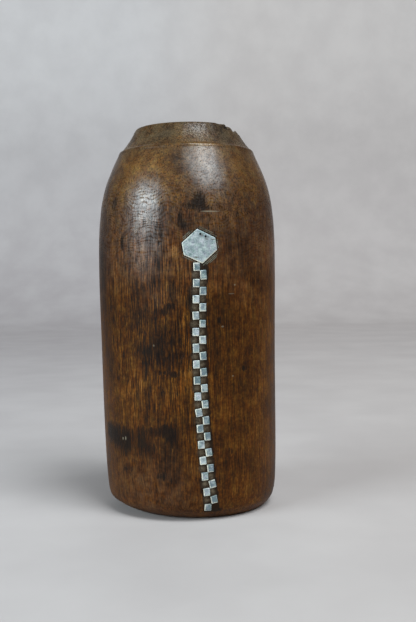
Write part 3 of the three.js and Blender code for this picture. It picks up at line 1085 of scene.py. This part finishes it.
def build_plate(metal, earth, dust, rng):
    """The plate with its two punched holes, the block that cuts its pocket and the blades for the lines that
    are scribed round it."""
    seat = seat_of(PLATE)
    corners = in_order(seat["points"][np.hypot(*seat["points"].T) > plate_reach])
    outline = edge_points(corners, plate_shares)
    plate = inlaid_piece("metal_plate", seat, outline, plate_insets, plate_face, plate_depth)
    plate.data.materials.append(metal)
    angle = np.arange(hole_corners) * TAU / hole_corners
    circle = hole_radius * np.stack([np.cos(angle), np.sin(angle)], -1)
    turn = math.radians(plate_turn)
    holes = []
    for number, (across, upright) in enumerate(hole_places):
        centre = (across * math.cos(turn) - upright * math.sin(turn),
                  across * math.sin(turn) + upright * math.cos(turn))
        room = -hole_depth, hole_cutter_top
        holes.append(pocket_cutter("hole_%d" % number, seat, circle + centre, *room, earth))
    carved(plate, holes)
    paint_metal(plate, seat, corners, rng)
    finished(plate, inlay_sharp, [PLATE])
    room = -plate_depth - pocket_room, plate_cutter_top
    cutters = [pocket_cutter("plate_pocket", seat, grown(outline, plate_gap), *room, earth)]
    for number, (edge, away, start, end) in enumerate(scribed_lines):
        first = corners[edge]
        along = corners[edge + 1] - first
        outside = np.array([along[1], -along[0]]) / np.linalg.norm(along) * away
        line = first + along * start + outside, first + along * end + outside
        cutters.append(groove_cutter("scribed_%d" % number, seat, *line, groove_width, groove_depth, dust))
    return cutters


def build_vessel():
    """The finished body, plate and tiles. The body takes its wood in the order of its finishes."""
    rng = np.random.default_rng(51)
    earth = dirt("packed_dirt", paint(16, 13, 11), paint(42, 35, 27))
    dust = dirt("pale_dust", paint(78, 78, 66), paint(134, 134, 118))
    tile_metal = worn_metal("tile_metal", -0.14, ())
    plate_metal = worn_metal("plate_metal", 0.18, plate_grime)
    body = build_body([wood_outside(), wood_broken(), wood_hollow()])
    carved(body, build_tiles(tile_metal, earth, rng) + build_plate(plate_metal, earth, dust, rng))
    paint_body(body)
    finished(body, wood_sharp, [BODY])


def camera_axes():
    """Right, up and forward directions of the camera: turned to the right, tilted down, then rolled."""
    turn, tilt, roll = (math.radians(angle) for angle in (camera_turn, camera_tilt, camera_roll))
    forward = np.array([math.sin(turn) * math.cos(tilt), math.cos(turn) * math.cos(tilt), -math.sin(tilt)])
    level = np.array([math.cos(turn), -math.sin(turn), 0])
    upright = np.cross(level, forward)
    right = math.cos(roll) * level + math.sin(roll) * upright
    return right, np.cross(right, forward), forward


def add_camera():
    """A plain camera at the photograph's viewing angle."""
    right, upward, forward = camera_axes()
    turn = Matrix(np.stack([right, upward, -forward], 1).tolist()).to_4x4()
    data = bpy.data.cameras.new("camera")
    data.lens = camera_lens
    data.sensor_width = camera_sensor
    camera = bpy.data.objects.new("camera", data)
    camera.matrix_world = Matrix.Translation((0, -camera_distance * MM, camera_height * MM)) @ turn
    bpy.context.scene.collection.objects.link(camera)
    bpy.context.scene.camera = camera


# Lamps: how far away they stand and how high they aim, in metres. Then each one's name, azimuth, elevation,
# width and height as angles, brightness and colour.
lamp_distance = 6.5
lamp_aim = 0.12
lamps = (
    ("window_right", 38, 55, 28, 40, 9.2, (0.9, 0.97, 1.0)),
    ("window_left", -57, 21, 30, 19, 13, (0.81, 0.94, 1.0)),
    ("window_low", -53, 4.5, 20, 7, 3.6, (0.85, 0.95, 1.0)),
)
world_grey = 0.18


def area_light(name, azimuth, elevation, wide, high, brightness, colour):
    """A far soft box that faces the body. It covers an angle in width and height as seen from there, and its
    power gives each part of its face a brightness, where 1 is white."""
    data = bpy.data.lights.new(name, "AREA")
    data.shape = "RECTANGLE"
    data.color = colour
    data.size = 2 * lamp_distance * math.tan(math.radians(wide / 2))
    data.size_y = 2 * lamp_distance * math.tan(math.radians(high / 2))
    data.energy = math.pi * data.size * data.size_y * brightness
    lamp = bpy.data.objects.new(name, data)
    turn = math.radians(azimuth)
    rise = math.radians(elevation)
    away = lamp_distance * math.cos(rise)
    height = lamp_aim + lamp_distance * math.sin(rise)
    lamp.location = (away * math.sin(turn), -away * math.cos(turn), height)
    lamp.rotation_euler = (math.radians(90 - elevation), 0, turn)
    bpy.context.scene.collection.objects.link(lamp)


def add_world():
    """A plain grey surrounding."""
    world = bpy.data.worlds.new("studio")
    world.use_nodes = True
    world.node_tree.nodes["Background"].inputs["Color"].default_value = (world_grey,) * 3 + (1,)
    bpy.context.scene.world = world


def sweep():
    """Floor and backdrop in one sheet, in metres: flat to the bend, a quarter circle up, then upright."""
    bend_start = 1.9
    bend = 0.6
    top = 4
    half_width = 6
    angle = np.linspace(0, math.pi / 2, 24)
    y = np.concatenate([[-9, -1, 0.5], bend_start + bend * np.sin(angle), [bend_start + bend]])
    z = np.concatenate([[0, 0, 0], bend * (1 - np.cos(angle)), [top]])
    depth, x = np.meshgrid(y, np.linspace(-half_width, half_width, 3), indexing="ij")
    points = np.stack([x, depth, np.broadcast_to(z[:, None], x.shape)], -1).reshape(-1, 3) / MM
    grid = np.arange(len(points)).reshape(x.shape)
    quads = np.stack([grid[:-1, :-1], grid[:-1, 1:], grid[1:, 1:], grid[1:, :-1]], -1).reshape(-1, 4)
    piece = write_mesh("floor", points, quads, np.empty((0, 3), int))
    piece.data.shade_smooth()
    return piece


def pale_plaster():
    """The floor and backdrop's pale grey, faintly clouded and a little warmer on the right. Painted light and
    shade vary it: the floor darkens with distance, most on the far left, and lightens towards the front, and
    the backdrop is lighter higher up and on the left. Far in front and at the sides it is painted a dull
    grey, a painted dim surround, so that the polished wood has little to mirror there."""
    material, shader, place = new_material("pale_plaster")
    x, y, z = shader.axes(place)
    cloud = shader.patches(place, 90.0, 3.0)
    far = shader.product(shader.step(y, -300.0, 1500.0), shader.step(z, 1000.0, 300.0))
    near = shader.step(y, 350.0, -150.0)
    left = shader.step(x, 250.0, -250.0)
    upper = shader.step(z, 20.0, 400.0)
    # Painted light and shade: the floor's falloff with distance and the changes from side to side.
    level = shader.total((far, -0.24), (near, 0.06), (shader.product(near, left), 0.05), (left, -0.02),
                         (shader.product(far, left), -0.14), (shader.product(upper, left), 0.12),
                         (shader.step(z, 300.0, 1000.0), 0.03), (cloud, 0.14), (0.5, 1.0))
    colour = shader.ramp(level, ((0.0, paint(147, 140, 141)), (1.0, paint(207, 203, 202))))
    colour = shader.mix(left, shader.mix(1.0, colour, (1.03, 1.0, 0.97, 1), "MULTIPLY"), colour)
    # Painted shade: a dim surround far in front and at the sides.
    beside = shader.step(shader.math("ABSOLUTE", x), 900.0, 1900.0)
    away = shader.math("MAXIMUM", shader.step(y, -500.0, -1100.0), beside)
    colour = shader.mix(shader.product(away, 0.85), colour, paint(88, 88, 90))
    dress(material, colour, shader.total((cloud, 0.1), (0.7, 1.0)), cloud, 0.1)
    return material


build_vessel()
add_camera()
for lamp in lamps:
    area_light(*lamp)
add_world()
bpy.context.scene.view_settings.view_transform = "Standard"
floor = sweep()
floor.data.materials.append(pale_plaster())
